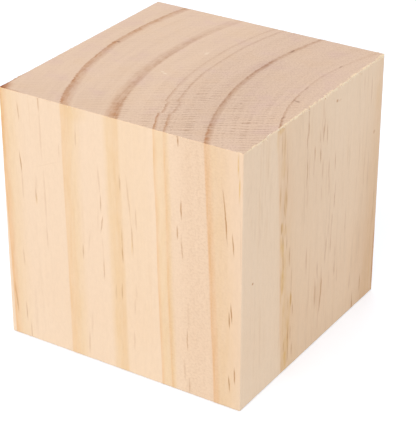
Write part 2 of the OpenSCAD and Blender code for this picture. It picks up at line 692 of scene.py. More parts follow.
# %% The dragged place
SAW_TURN = 32.0  # degrees from the front edge to the run of the saw marks
SAW_DRAG = 0.45  # mm, the most that a tooth drags the figure along
SLIP = 0.36  # mm that the strip slipped
SLIP_FROM, SLIP_TO = -11.25, -8.5  # mm across the saw marks, the strip's two sides
SAW_RUN = (math.cos(math.radians(SAW_TURN)), math.sin(math.radians(SAW_TURN)), 0.0)
SAW_STEP = (-SAW_RUN[1], SAW_RUN[0], 0.0)


def saw_streaks(tree, in_mm):
    """How far a place is along and across the saw marks, in mm, and the teeth's streaks."""
    along = vector_maths(tree, "DOT_PRODUCT", in_mm, SAW_RUN)
    over = vector_maths(tree, "DOT_PRODUCT", in_mm, SAW_STEP)
    drawn_out = combined(tree, maths(tree, "MULTIPLY", along, 0.14), over)
    return along, over, cloud(tree, drawn_out, 2.9, detail=3.0, roughness=0.6)


def drag_place(tree, place, x, over, streaks):
    """The place that the figure is read at, dragged along by the teeth."""
    drag = maths(tree, "MULTIPLY", maths(tree, "SUBTRACT", streaks, 0.5), SAW_DRAG * MM)
    in_slip = maths(tree, "MULTIPLY", rise(tree, over, SLIP_FROM, SLIP_FROM + 0.2),
                    rise(tree, over, SLIP_TO + 0.3, SLIP_TO))
    beside = maths(tree, "MULTIPLY", rise(tree, x, 0.4, 1.6), rise(tree, x, 5.5, 3.5))
    slipped = maths(tree, "MULTIPLY", in_slip, beside)
    drag = maths(tree, "MULTIPLY_ADD", slipped, -SLIP * MM, drag)
    return vector_maths(tree, "ADD", place, scaled(tree, SAW_RUN, drag))


print("saw marks run along:", [round(c, 2) for c in SAW_RUN])

# %% [markdown]
# ## The sawn ends: saw marks
#
# The teeth also left fine parallel scores, about two to the millimetre. They are a wave across
# the saw's run, wandering a little, mixed with the same streaks that dragged the figure. They
# show best towards the front right corner, and best of all in four places there, where the
# teeth bit deepest. A patchy noise keeps them from looking ruled.

# %% The scores
SAW_PITCH = 0.57  # mm from one score to the next
SAW_SHOWS = end_marks([  # where the teeth bit deepest
    (11.4, -10.2, 3.2, 5.2, 0.8), (6.3, -12.2, 3.2, 3.6, 0.8),
    (8.0, -7.0, 2.4, 3.4, 0.5), (5.0, -4.5, 2.4, 2.8, 0.5),
], depth=9.0)


def saw_scores(tree, along, over, streaks):
    """The saw marks as scores, from about 0 to 1."""
    turns = maths(tree, "MULTIPLY", over, 2 * math.pi / SAW_PITCH)
    path = combined(tree, maths(tree, "MULTIPLY", along, 0.3), over)
    wander = cloud(tree, path, 0.5, detail=2.0)
    wave = maths(tree, "SINE", maths(tree, "MULTIPLY_ADD", wander, 16.0, turns))
    return maths(tree, "MULTIPLY_ADD", wave, 0.35, streaks)


def score_strength(tree, in_mm, x, y):
    """How strongly the scores show at a place."""
    strength = maths(tree, "MULTIPLY", rise(tree, y, 5.0, -8.0), rise(tree, x, -8.0, 3.0))
    strength = maths(tree, "MULTIPLY_ADD", strength, 0.55, marked(tree, in_mm, SAW_SHOWS))
    patches = rise(tree, cloud(tree, in_mm, 0.9, detail=1.0), 0.4, 0.62, 0.3, 1.0)
    strength = maths(tree, "MULTIPLY", strength, patches)
    return maths(tree, "MULTIPLY_ADD", strength, 0.88, 0.16)


print("saw marks:", round(1 / SAW_PITCH, 2), "for each mm, deepest in", len(SAW_SHOWS), "places")

# %% [markdown]
# ## The sawn ends: colour of the wood and its rings
#
# Open fibre ends swallow light, so sawn ends look darker and pinker than planed sides of the
# same wood, and nothing there shines. The late wood is a red-brown line, warmer at the front
# edge and on the left. A line is never one even stroke: it is uneven along its length and
# splits into filaments, so two noises make it stronger and weaker.

# %% End grain
SAWN_PALE = linear(227, 198, 173)
SAWN_HEART = (0.968, 0.968, 0.985, 1.0)  # what nearness to the heart multiplies it by
SAWN_COOL_PATCH = (0.975, 0.960, 1.01, 1.0)
SAWN_WARM_PATCH = (1.0, 0.99, 0.965, 1.0)
SAWN_SHADE_TINT = (0.968, 0.965, 0.962, 1.0)
SAWN_LINE = (0.745, 0.635, 0.570, 1.0)
SAWN_LINE_WARM = (0.765, 0.590, 0.465, 1.0)
SAWN_SHADE = end_marks([  # wide soft places where the end is a little darker
    (7.5, -4.0, 5.0, 16.0, 0.9), (-6.5, -15.0, 13.0, 8.0, 0.9),
], depth=9.0)


def end_grain(tree, in_mm, x, y, wood):
    """The colour of a sawn end with its rings, and the mask of the rings' lines."""
    colour = tinted(tree, wood["Heart"], SAWN_PALE, SAWN_HEART)
    patchy = cloud(tree, in_mm, 0.35, detail=2.0)
    colour = tinted(tree, rise(tree, patchy, 0.5, 0.72), colour, SAWN_COOL_PATCH)
    colour = tinted(tree, rise(tree, patchy, 0.5, 0.3), colour, SAWN_WARM_PATCH)
    colour = tinted(tree, marked(tree, in_mm, SAWN_SHADE), colour, SAWN_SHADE_TINT)
    at_front, at_left = rise(tree, y, -9.0, -14.8), rise(tree, x, -5.0, -8.5, 0.0, 0.5)
    warm = maths(tree, "MAXIMUM", at_front, at_left)
    line_tint = blended(tree, warm, SAWN_LINE, SAWN_LINE_WARM)
    uneven = rise(tree, cloud(tree, in_mm, 1.3, detail=3.0), 0.25, 0.75, 0.65, 1.35)
    split = rise(tree, wood["Filament"], 0.3, 0.7, 1.2, 0.75)
    line = maths(tree, "MULTIPLY", wood["End line"], maths(tree, "MULTIPLY", uneven, split))
    return tinted(tree, line, colour, line_tint), line


print("darker places on the top:", len(SAWN_SHADE))

# %% [markdown]
# ## The sawn ends: pores, scores and marks
#
# Over the wood's own colour come the faint lines of slow weeks, the speckle of open pores,
# which is stronger on the right, and the scores. Last come the marks that are on the top
# alone: dark specks, three pale scratches, and the corner that the saw burnt when it rubbed.

# %% Pores and scores
SAWN_SLOW = (0.90, 0.88, 0.87, 1.0)
PORE_TINT = (0.93, 0.91, 0.90, 1.0)
SCORE_TINT = (0.825, 0.765, 0.735, 1.0)


def end_pores(tree, in_mm, x, wood, colour):
    """The colour with slow lines and pores, and the pores' own noise."""
    slow = rise(tree, wood["Slow lines"], 0.35, 0.7)
    colour = tinted(tree, maths(tree, "MULTIPLY", slow, 0.36), colour, SAWN_SLOW)
    pores = cloud(tree, in_mm, 5.0, detail=3.0, roughness=0.7)
    open_pores = rise(tree, x, -3.0, 4.0, 0.8, 1.9)
    speckle = maths(tree, "MULTIPLY", rise(tree, pores, 0.4, 0.68), open_pores)
    return tinted(tree, speckle, colour, PORE_TINT), pores


def end_scored(tree, scores, strength, wood, colour):
    """The colour with the scores, and their mask. They come and go with the slow lines.
    Between the scores the colour is painted paler: pale lifted fibres and a painted highlight.
    """
    # Below 0 the tint pales the ridges between the scores: pale lifted fibres and a painted
    # highlight.
    scores_and_ridge_highlight = maths(tree, "SUBTRACT", rise(tree, scores, 0.2, 0.9), 0.25)
    scores_and_ridge_highlight = maths(tree, "MULTIPLY", scores_and_ridge_highlight, strength)
    lanes = rise(tree, wood["Slow lines"], 0.4, 0.6, 0.4, 1.4)
    scores_and_ridge_highlight = maths(tree, "MULTIPLY", scores_and_ridge_highlight, lanes)
    return tinted(tree, scores_and_ridge_highlight, colour, SCORE_TINT), scores_and_ridge_highlight


print("score tint:", SCORE_TINT[:3])

# %% Specks, scratches and the burnt corner
SPECK_TINT = (0.55, 0.46, 0.43, 1.0)
SCRATCH_COLOUR = linear(246, 226, 203)
BURN_TINT = (0.66, 0.41, 0.27, 1.0)
SAWN_SPECKS = end_marks([
    (-11.6, 2.05, 0.30, 0.22, 0.8), (13.3, -1.4, 0.42, 0.26, 0.75), (8.7, -5.0, 0.20, 0.20, 0.5),
    (6.15, 10.1, 0.18, 0.60, 0.8), (12.85, -1.4, 0.12, 0.60, 0.4), (14.0, -5.7, 0.18, 0.40, 0.45),
    (14.35, -6.6, 0.18, 0.40, 0.4), (12.7, 9.1, 0.16, 0.50, 0.5), (12.45, 2.0, 0.12, 0.60, 0.45),
], depth=1.0)
SAWN_SCRATCHES = end_marks([
    (-2.8, -2.35, 0.45, 0.14, 0.6), (-2.3, -2.65, 0.45, 0.13, 0.7), (-1.5, 4.5, 0.35, 0.55, 0.35),
], depth=1.0)
BURN = end_marks([
    (-14.9, -14.9, 1.35, 2.0, 0.85), (-15.0, -12.8, 0.32, 3.2, 0.8), (-13.6, -15.0, 2.2, 0.35, 0.4),
], depth=1.2)


def end_blemished(tree, in_mm, colour):
    """The colour with the marks that only the top has, and the mask of its specks."""
    specks = marked(tree, in_mm, SAWN_SPECKS)
    colour = tinted(tree, specks, colour, SPECK_TINT)
    colour = blended(tree, marked(tree, in_mm, SAWN_SCRATCHES), colour, SCRATCH_COLOUR)
    return tinted(tree, marked(tree, in_mm, BURN), colour, BURN_TINT), specks


print("on the top:", len(SAWN_SPECKS), "specks and", len(SAWN_SCRATCHES), "scratches")

# %% [markdown]
# ## The sawn finish
#
# Now the steps are strung together. A pale, splintered line follows the right arris, wider
# towards the back. Torn fibres make it paler, and it is also a painted highlight, for the light
# that the arris catches. The finish is dull, with a high roughness and little gloss, and a Bump
# node gives the scores, pores, fibres, lines and specks their small heights, in millimetres.

# %% The material of the sawn ends
ARRIS_TURNS_WIDE = (-8.0, 2.0)  # mm from front to back, over which the pale line widens
END_ARRIS_WIDTH = (0.20, 0.32)  # mm
# Paler torn fibres and a painted highlight along the right arris of the top.
END_ARRIS_PALE_AND_HIGHLIGHT = linear(255, 230, 190)


def start_material(name):
    """A material with a bare Principled shader, its tree and the block's own coordinates."""
    material = bpy.data.materials.new(name)
    material.use_nodes = True
    tree = material.node_tree
    shader = tree.nodes["Principled BSDF"]
    place = add_node(tree, "ShaderNodeTexCoord").outputs["Object"]
    return material, tree, shader, place


def bumped(tree, shader, *terms):
    """Lead the sum of some masks, each times its height in mm, to the shader's normal."""
    total = 0.0
    for mask, height in terms:
        total = maths(tree, "MULTIPLY_ADD", mask, height, total)
    inputs = {"Height": total, "Distance": MM, "Strength": 1.0}
    tree.links.new(add_node(tree, "ShaderNodeBump", inputs).outputs[0], shader.inputs["Normal"])


def end_arris(tree, place, in_mm, x, y, colour):
    """The colour with the pale splintered line along the right arris: torn fibres and a painted
    highlight.
    """
    width = rise(tree, y, *ARRIS_TURNS_WIDE, *END_ARRIS_WIDTH)
    worn_and_lit = place_group(tree, ARRIS_GROUP, Place=place, Width=width)["Mask"]
    splintered = rise(tree, cloud(tree, in_mm, 1.3, detail=3.0, roughness=0.7), 0.42, 0.62)
    # torn is the pale line here: paler torn fibres and a painted highlight.
    torn = maths(tree, "MULTIPLY", worn_and_lit, rise(tree, x, 14.0, 14.6, 0.1, 0.9))
    torn = maths(tree, "MULTIPLY", torn, splintered)
    return blended(tree, torn, colour, END_ARRIS_PALE_AND_HIGHLIGHT)


def make_sawn_end():
    """Dull, pinkish end grain with brown rings and fine saw marks."""
    material, tree, shader, place = start_material("sawn_end")
    in_mm = as_millimetres(tree, place)
    x, y = separated(tree, in_mm)[:2]
    along, over, streaks = saw_streaks(tree, in_mm)
    dragged = drag_place(tree, place, x, over, streaks)
    wood = place_group(tree, FIGURE_GROUP, Place=dragged)
    colour, line = end_grain(tree, in_mm, x, y, wood)
    colour, pores = end_pores(tree, in_mm, x, wood, colour)
    scores = saw_scores(tree, along, over, streaks)
    strength = score_strength(tree, in_mm, x, y)
    colour, scores_and_ridge_highlight = end_scored(tree, scores, strength, wood, colour)
    colour, specks = end_blemished(tree, in_mm, colour)
    colour = end_arris(tree, place, in_mm, x, y, colour)
    tree.links.new(colour, shader.inputs["Base Color"])
    shader.inputs["Roughness"].default_value = 0.82
    shader.inputs["Specular IOR Level"].default_value = 0.25
    bumped(tree, shader, (scores_and_ridge_highlight, -0.022), (pores, 0.02), (wood["Fibre"], 0.02),
           (line, 0.012), (specks, -0.05))
    return material


SAWN_END = make_sawn_end()
print("sawn end:", len(SAWN_END.node_tree.nodes), "nodes")

# %% [markdown]
# ## The planed sides: resin canals
#
# The short dark dashes on a planed side are resin canals, fine tubes that run up the tree. The
# plane rarely follows one exactly, so it opens a few millimetres of it and leaves it again.
# They crowd together in some strips and are missing in others, which chance alone wouldn't
# give. So on the front and right faces they are set one by one, and only on the left and back
# are they scattered.

# %% Resin canals of the front face
# Place across the face from its left edge at the canal's middle, lowest and highest end,
# darkness, how far it runs to the right for each mm that it drops, and half of its width.
Canal = namedtuple("Canal", "across low high dark run wide")
FRONT_CANALS = [Canal(*sizes) for sizes in (
    (2.4, 27.0, 28.5, 0.5, 0.08, 0.12), (5.1, 28.8, 30.0, 0.55, 0.02, 0.12),
    (5.2, 22.5, 28.8, 0.2, 0.02, 0.18), (2.38, 21.0, 22.8, 0.85, 0.08, 0.11),
    (2.5, 17.5, 20.8, 0.3, 0.03, 0.13), (4.25, 17.9, 19.0, 0.5, 0.04, 0.14),
    (4.35, 19.3, 20.3, 0.15, 0.0, 0.25), (5.45, 15.0, 22.0, 0.2, 0.02, 0.18),
    (5.5, 12.4, 15.0, 0.25, 0.02, 0.13), (2.15, 9.4, 11.0, 0.28, 0.05, 0.14),
    (0.68, 5.0, 6.4, 0.3, 0.05, 0.18), (0.85, 3.0, 5.4, 0.5, 0.08, 0.15),
    (2.15, 2.3, 4.2, 0.5, 0.05, 0.12), (2.7, 0.0, 1.6, 0.45, 0.0, 0.11),
    (3.5, 0.0, 7.0, 0.10, 0.0, 0.30), (7.55, 24.1, 24.9, 0.25, 0.0, 0.14),
    (5.95, 22.3, 22.7, 0.1, -2.2, 0.20), (9.77, 26.0, 26.9, 0.4, 0.0, 0.12),
    (9.8, 26.9, 28.6, 0.12, -0.03, 0.15), (12.6, 20.8, 24.0, 0.25, 0.06, 0.17),
    (12.75, 19.2, 20.4, 0.55, 0.0, 0.12), (12.85, 16.7, 18.0, 0.6, -0.15, 0.12),
    (12.35, 16.4, 19.0, 0.1, -0.05, 0.20), (12.9, 12.8, 15.6, 0.14, 0.05, 0.15),
    (12.97, 11.0, 12.8, 0.5, 0.0, 0.12), (10.3, 12.8, 13.9, 0.5, 0.0, 0.12),
    (11.15, 13.8, 15.8, 0.13, -0.1, 0.15), (10.75, 0.8, 3.3, 0.3, -0.02, 0.15),
    (11.2, 3.3, 6.0, 0.15, -0.02, 0.20), (15.25, 22.2, 23.4, 0.4, 0.03, 0.15),
    (16.28, 18.6, 24.0, 0.28, 0.1, 0.15), (16.68, 15.0, 18.6, 0.42, 0.08, 0.13),
    (15.42, 13.9, 15.0, 0.6, 0.04, 0.13), (15.4, 15.4, 17.4, 0.35, 0.02, 0.13),
    (17.2, 18.2, 20.1, 0.35, 0.03, 0.14), (15.27, 9.3, 10.6, 0.45, 0.0, 0.13),
    (14.5, 9.0, 10.3, 0.22, 0.0, 0.15), (17.1, 9.3, 11.0, 0.14, 0.0, 0.20),
    (16.9, 8.0, 9.3, 0.22, 0.0, 0.14), (16.75, 3.3, 5.3, 0.22, 0.0, 0.16),
    (22.4, 29.3, 30.0, 1.25, 0.05, 0.12), (22.77, 21.0, 22.6, 1.0, 0.02, 0.12),
    (22.30, 18.8, 19.5, 0.85, 0.0, 0.13), (22.85, 16.6, 17.9, 0.55, 0.08, 0.12),
    (22.8, 17.9, 18.8, 0.18, 0.0, 0.14), (23.6, 8.4, 11.0, 0.18, 0.02, 0.20),
    (23.47, 5.7, 7.6, 0.7, 0.02, 0.12), (23.15, 1.8, 4.0, 0.28, 0.02, 0.14),
    (23.75, 0.2, 1.7, 0.45, 0.05, 0.13), (27.82, 23.4, 25.4, 0.55, 0.1, 0.11),
    (28.08, 19.6, 24.0, 1.0, 0.08, 0.11), (28.95, 18.6, 20.6, 0.85, 0.08, 0.11),
    (28.82, 10.8, 12.4, 1.05, 0.08, 0.11), (28.58, 10.1, 11.4, 1.0, 0.04, 0.11),
    (29.29, 3.6, 4.8, 1.1, 0.04, 0.12), (28.66, 2.4, 3.6, 0.95, 0.08, 0.12),
    (29.82, 15.0, 24.5, 0.15, 0.01, 0.13),
)]
print("canals on the front face:", len(FRONT_CANALS))

# %% Resin canals of the right face
RIGHT_CANALS = [Canal(*sizes) for sizes in (
    (13.1, 28.8, 30.0, 0.65, 0.02, 0.12), (13.1, 26.6, 28.4, 1.4, 0.02, 0.12),
    (12.92, 25.6, 26.8, 1.0, 0.02, 0.12), (13.08, 23.0, 25.0, 0.5, 0.0, 0.12),
    (13.15, 22.0, 23.4, 0.9, 0.02, 0.12), (13.05, 20.8, 22.0, 0.6, 0.0, 0.13),
    (13.3, 18.4, 20.6, 0.25, -0.05, 0.22), (13.55, 21.6, 24.4, 0.35, 0.0, 0.14),
    (14.62, 23.5, 24.6, 1.25, 0.05, 0.12), (14.5, 21.5, 23.2, 0.35, 0.0, 0.14),
    (15.75, 25.1, 25.9, 0.7, 0.1, 0.11), (15.93, 22.8, 23.7, 1.1, 0.02, 0.12),
    (15.9, 23.7, 24.5, 0.5, 0.0, 0.13), (16.2, 27.3, 29.6, 0.3, 0.0, 0.20),
    (16.5, 27.2, 28.4, 0.4, 0.05, 0.12), (16.6, 25.9, 27.2, 0.8, 0.0, 0.12),
    (16.42, 25.0, 26.4, 1.2, 0.02, 0.12), (17.25, 24.4, 26.4, 0.85, 0.03, 0.12),
    (16.05, 25.8, 27.2, 0.4, 0.0, 0.11), (16.5, 20.4, 22.4, 0.5, 0.0, 0.16),
    (17.9, 19.9, 21.8, 0.6, 0.0, 0.18), (19.33, 20.3, 22.1, 0.65, 0.0, 0.13),
    (16.4, 17.7, 19.6, 0.3, 0.0, 0.16), (18.1, 17.8, 19.9, 0.3, 0.0, 0.30),
    (19.6, 16.9, 18.6, 0.4, 0.0, 0.15), (19.48, 15.9, 17.0, 0.85, 0.0, 0.13),
    (19.1, 13.8, 14.7, 0.75, 0.0, 0.13), (19.0, 12.0, 13.8, 0.4, 0.0, 0.15),
    (19.0, 10.5, 12.0, 0.65, 0.0, 0.13), (17.95, 10.9, 12.4, 0.8, 0.02, 0.12),
    (17.8, 9.7, 11.1, 0.55, 0.02, 0.13), (18.3, 12.6, 14.0, 0.45, 0.0, 0.14),
    (20.1, 9.0, 10.6, 0.3, 0.0, 0.18), (20.1, 7.1, 8.3, 0.85, 0.0, 0.12),
    (20.8, 5.8, 7.2, 0.4, 0.0, 0.15), (18.9, 6.0, 8.0, 0.2, 0.0, 0.20),
    (22.3, 11.2, 14.0, 0.4, -0.02, 0.17), (16.1, 8.4, 10.0, 0.55, 0.05, 0.20),
    (15.75, 4.8, 8.3, 0.55, 0.03, 0.28), (17.1, 7.0, 8.9, 0.6, 0.0, 0.14),
    (17.12, 5.0, 7.6, 0.95, -0.04, 0.22), (16.9, 3.8, 5.3, 0.75, -0.06, 0.20),
    (16.6, 2.0, 3.8, 0.3, -0.05, 0.16), (24.0, 3.2, 4.7, 0.4, 0.0, 0.22),
    (26.65, 1.7, 3.5, 1.0, 0.0, 0.13), (24.85, 0.0, 2.2, 0.8, -0.02, 0.14),
    (24.87, 0.0, 0.8, 0.8, -0.05, 0.12), (29.1, 9.4, 11.2, 0.4, 0.0, 0.14),
    # The next two entries draw one dark line down the far edge of the face, from the base to 8.6 mm
    # up.
    (29.75, 4.6, 8.6, 0.9, 0.0, 0.20), (29.72, 0.0, 5.6, 1.1, 0.0, 0.22),
    (25.0, 17.5, 22.6, 0.2, 0.0, 0.16), (24.6, 14.5, 17.8, 0.2, 0.0, 0.18),
    (27.3, 25.0, 28.2, 0.5, 0.0, 0.13), (26.3, 15.0, 20.0, 0.2, 0.0, 0.20),
    (27.3, 14.5, 19.0, 0.25, 0.0, 0.20), (25.5, 27.4, 28.6, 0.4, 0.0, 0.13),
    (13.5, 10.0, 13.2, 0.5, 0.02, 0.20), (9.1, 15.4, 16.7, 0.75, 0.02, 0.12),
    (9.8, 13.1, 14.9, 1.15, 0.02, 0.13), (10.32, 9.6, 12.5, 0.45, 0.0, 0.15),
    (10.7, 6.7, 7.6, 0.95, 0.05, 0.12), (10.38, 3.5, 5.0, 0.8, 0.05, 0.12),
    (10.75, 1.5, 2.5, 0.9, 0.02, 0.12), (7.62, 26.2, 29.4, 0.4, 0.02, 0.15),
    (8.15, 26.2, 29.2, 0.55, 0.0, 0.15), (8.7, 25.6, 28.4, 0.3, 0.0, 0.12),
    (8.88, 22.6, 25.2, 0.65, 0.0, 0.12), (8.68, 20.4, 22.4, 0.55, 0.05, 0.20),
    (8.5, 19.2, 20.6, 0.45, 0.15, 0.18), (7.5, 21.2, 22.8, 0.4, 0.0, 0.15),
    (7.88, 17.9, 18.5, 0.9, 0.0, 0.20), (8.7, 17.4, 18.4, 0.35, 0.05, 0.15),
    (8.25, 16.3, 17.1, 0.6, 0.1, 0.15), (8.42, 13.2, 14.6, 0.45, 0.08, 0.20),
    (8.0, 10.2, 13.2, 0.35, 0.03, 0.12), (9.7, 7.8, 8.8, 0.4, 0.0, 0.14),
    (10.3, 8.1, 9.1, 0.6, 0.0, 0.20), (9.85, 3.2, 5.2, 1.15, 0.0, 0.16),
    (9.92, 0.9, 3.0, 0.7, 0.0, 0.16), (9.0, 2.8, 3.5, 0.6, 0.0, 0.15),
    (29.2, 11.0, 13.5, 0.4, 0.0, 0.13), (3.4, 18.6, 20.6, 0.2, 0.0, 0.16),
    (13.8, 25.0, 29.0, 0.15, 0.0, 0.11), (12.6, 18.5, 24.0, 0.15, 0.0, 0.12),
    (15.2, 17.0, 22.0, 0.15, 0.0, 0.12), (17.4, 18.0, 22.5, 0.2, 0.0, 0.12),
    (18.5, 13.5, 18.0, 0.15, 0.02, 0.14), (20.4, 9.0, 14.0, 0.15, 0.0, 0.14),
    (14.2, 5.0, 10.0, 0.12, 0.0, 0.14), (18.0, 2.0, 6.5, 0.15, 0.0, 0.14),
    (21.4, 14.0, 19.5, 0.12, 0.0, 0.16),
)]
print("canals on the right face:", len(RIGHT_CANALS))

# %% [markdown]
# ## The planed sides: canals as marks
#
# A face is flat, so a canal's place is measured on it, from its lower left corner. The small
# marks live in the block's own space, so each canal is turned into one: long upwards, thin
# across, and cutting a little way into the face. The two hidden faces get theirs from a seeded
# random choice, so that they come out the same each time.

# %% From a face to the block
CANAL_DEPTH = 0.30  # mm, half of the depth that one cuts into the face
CANAL_SOFT_END = 0.7  # mm that a canal fades over at each end
HIDDEN_CANALS = 26  # on each of the left and back faces
CANAL_SEED = 7
left_front = Vector((block_low.x, block_low.y, block_low.z))
left_back = Vector((block_low.x, block_high.y, block_low.z))
right_front = Vector((block_high.x, block_low.y, block_low.z))


def scattered_canals(count, seed):
    """Canals at chance places, for a face that has no list of its own."""
    chance = random.Random(seed)
    for _ in range(count):
        across, low = chance.uniform(1, 29), chance.uniform(0, 28)
        high = min(30.0, low + chance.uniform(1.0, 4.0))
        dark, run = chance.uniform(0.25, 1.0), chance.uniform(-0.04, 0.08)
        yield Canal(across, low, high, dark, run, chance.uniform(0.11, 0.17))


def canal_marks(canals, origin, along_x):
    """Canals as small marks, on a face whose lower left corner is at origin."""
    for canal in canals:
        half = (canal.high - canal.low) / 2 + CANAL_SOFT_END
        up = Vector((0, 0, (canal.low + canal.high) / 2))
        across = Vector((1, 0, 0)) if along_x else Vector((0, 1, 0))
        centre = origin + across * canal.across + up
        run = across * -canal.run
        sizes = (canal.wide, CANAL_DEPTH, half) if along_x else (CANAL_DEPTH, canal.wide, half)
        yield Mark(tuple(centre), sizes, tuple(run), canal.dark)


front_marks = list(canal_marks(FRONT_CANALS, left_front, True))
right_marks = list(canal_marks(RIGHT_CANALS, right_front, False))
back_marks = list(canal_marks(scattered_canals(HIDDEN_CANALS, CANAL_SEED), left_back, True))
left_marks = list(canal_marks(scattered_canals(HIDDEN_CANALS, CANAL_SEED + 1), left_front, False))
print("canals on the back and left faces:", len(back_marks), len(left_marks))

# %% [markdown]
# ## The planed sides: specks, golden and shaded places
#
# The right face was cut almost flat to the rings, so its late wood doesn't come out in straight
# bands but in golden flames that open and close. The front has only a few such streaks. With
# a few specks, and wide places that are drawn darker or paler, they are one more list of soft
# upright blots for each face.

# %% Specks, gold and shade
# For each: place across and up, half width, half height, and strength.
RIGHT_SPECKS = [
    (2.2, 14.4, 0.22, 0.20, 1.5), (19.22, 28.40, 0.32, 0.26, 1.0), (28.4, 21.2, 0.36, 0.34, 0.6),
    (19.8, 28.25, 0.5, 0.16, 0.4), (16.5, 29.7, 0.2, 0.2, 1.0), (3.7, 29.9, 0.25, 0.2, 0.8),
]
FRONT_GOLD = [
    (29.45, 28.6, 0.14, 1.8, 1.3), (29.62, 26.0, 0.14, 2.2, 1.2), (9.6, 29.4, 2.30, 1.5, 0.35),
    (0.2, 26.0, 0.45, 7.0, 0.5), (19.5, 26.5, 0.16, 4.5, 0.4), (16.65, 15.8, 0.14, 1.6, 0.6),
    (4.3, 17.9, 0.20, 0.9, 0.6),
]
RIGHT_GOLD = [
    (7.4, 29.8, 1.00, 0.9, 1.1), (8.1, 27.6, 0.80, 2.2, 0.4), (8.0, 25.0, 0.80, 1.6, 0.5),
    (8.65, 21.0, 0.45, 2.4, 0.85), (7.5, 21.8, 0.30, 1.8, 0.6), (8.0, 18.2, 0.40, 0.9, 1.3),
    (8.7, 17.6, 0.60, 1.0, 0.6), (8.2, 15.6, 0.45, 1.4, 0.8), (8.5, 14.0, 0.60, 1.4, 0.7),
    (9.3, 14.0, 0.70, 1.8, 0.3), (8.35, 11.6, 0.50, 2.2, 1.3), (8.05, 9.6, 0.14, 0.9, 0.6),
    (9.4, 8.0, 1.10, 2.6, 0.4), (10.3, 8.6, 0.30, 1.2, 1.0), (9.6, 5.5, 0.70, 2.0, 0.4),
    (8.6, 5.5, 0.40, 2.0, 0.3), (9.3, 3.0, 0.95, 2.0, 0.8), (9.2, 1.2, 0.95, 1.7, 1.0),
    (28.9, 25.4, 0.50, 2.4, 0.35), (29.0, 17.0, 0.60, 4.0, 0.2), (9.95, 4.5, 0.40, 3.2, 0.5),
    (8.2, 16.0, 0.55, 2.4, 0.45), (8.3, 12.5, 0.50, 2.0, 0.3), (7.8, 16.5, 0.35, 1.6, 0.5),
    (6.7, 28.5, 0.35, 1.6, 0.5), (10.25, 8.0, 0.35, 2.4, 0.5), (9.65, 4.8, 0.20, 1.8, 0.6),
    (8.6, 8.0, 0.40, 2.0, 0.4), (8.9, 11.5, 0.45, 3.0, 0.45), (9.0, 5.0, 0.60, 2.5, 0.3),
]
RIGHT_SHADE = [  # darker, or paler where the strength is below 0
    # The first two entries make the face darker towards its far lower corner and far edge.
    (30.0, 0.0, 7.5, 30.0, 0.80), (30.0, 1.0, 4.5, 9.0, 0.30), (0.0, 15.0, 0.6, 30.0, -0.2),
    (16.4, 6.0, 0.80, 2.8, 0.40), (13.0, 24.0, 7.0, 12.0, 0.20),
]


def blots(sizes, origin, along_x):
    """Upright blots as small marks, on a face whose lower left corner is at origin."""
    for across, up, half_width, half_height, strength in sizes:
        centre = origin + Vector((across, 0, up) if along_x else (0, across, up))
        widths = (half_width, CANAL_DEPTH) if along_x else (CANAL_DEPTH, half_width)
        yield Mark(tuple(centre), (*widths, half_height), (0, 0, 0), strength)


right_marks += blots(RIGHT_SPECKS, right_front, False)
front_gold = list(blots(FRONT_GOLD, left_front, True))
right_gold = list(blots(RIGHT_GOLD, right_front, False))
right_shade = list(blots(RIGHT_SHADE, right_front, False))
print("golden places:", len(front_gold), "front,", len(right_gold), "right")

# %% [markdown]
# ## The planed sides: bands
#
# Planed along the grain, the wood is smooth and warm. The late wood turns from a brown line
# into a yellow band, because light sinks into it from the side, and each band keeps the sharp
# edge and the soft edge of its ring. All four sides share one recipe. What differs from one to
# the next is gathered in a Side: its colours, its marks and how much fine grain shows.

# %% Bands, gold and shade
PLANED_PALE = linear(249, 220, 188)
# Painted light: the right face has its own base colour, a touch paler than the front's, tuned to
# the light on that face.
RIGHT_PALE_WITH_PAINTED_LIGHT = linear(250, 222, 189)
PLANED_HEART = (0.950, 0.925, 0.911, 1.0)
PLANED_CORE = (0.972, 0.868, 0.770, 1.0)
PLANED_BAND = (0.962, 0.925, 0.805, 1.0)
RIGHT_BAND_TOP = (0.955, 0.900, 0.835, 1.0)
RIGHT_BAND_LOW = (0.970, 0.930, 0.865, 1.0)
BAND_TURNS = (16.0, 23.0)  # mm up, between which a band goes from its low tint to its top tint
PLANED_INNER = (0.935, 0.885, 0.835, 1.0)
PLANED_GOLD = (0.942, 0.880, 0.710, 1.0)
PLANED_SHADE = (0.885, 0.825, 0.755, 1.0)

# What differs from side to side: base colour, the band's tints at the top and low down, canals
# and their tint, golden and shaded places, and how much of the fine grain shows.
Side = namedtuple("Side", "pale band_top band_low marks mark_tint golden shaded fine_grain")


def side_banded(tree, in_mm, z, wood, side):
    """The base colour of a side, with the bands and cores of its rings."""
    colour = tinted(tree, wood["Side heart"], side.pale, PLANED_HEART)
    streaks = cloud(tree, in_mm, 2.2, (1, 1, 0.12), detail=3.0, roughness=0.6)
    uneven = rise(tree, streaks, 0.25, 0.75, 0.7, 1.3)
    band_tint = blended(tree, rise(tree, z, *BAND_TURNS), side.band_low, side.band_top)
    colour = tinted(tree, maths(tree, "MULTIPLY", wood["Band"], uneven), colour, band_tint)
    core = maths(tree, "MULTIPLY", wood["Core"], uneven)
    colour = tinted(tree, core, colour, PLANED_CORE)
    return tinted(tree, wood["Inner"], colour, PLANED_INNER)


def side_flamed(tree, in_mm, side, colour):
    """The colour with a side's golden and shaded places. Gold comes in wisps."""
    if side.golden:
        wisps = cloud(tree, in_mm, 3.4, (1, 1, 0.16), detail=3.0, roughness=0.7)
        wisps = rise(tree, wisps, 0.3, 0.65, 0.5, 1.4)
        gold = maths(tree, "MULTIPLY", marked(tree, in_mm, side.golden), wisps)
        colour = tinted(tree, gold, colour, PLANED_GOLD)
    if side.shaded:
        colour = tinted(tree, marked(tree, in_mm, side.shaded), colour, PLANED_SHADE)
    return colour


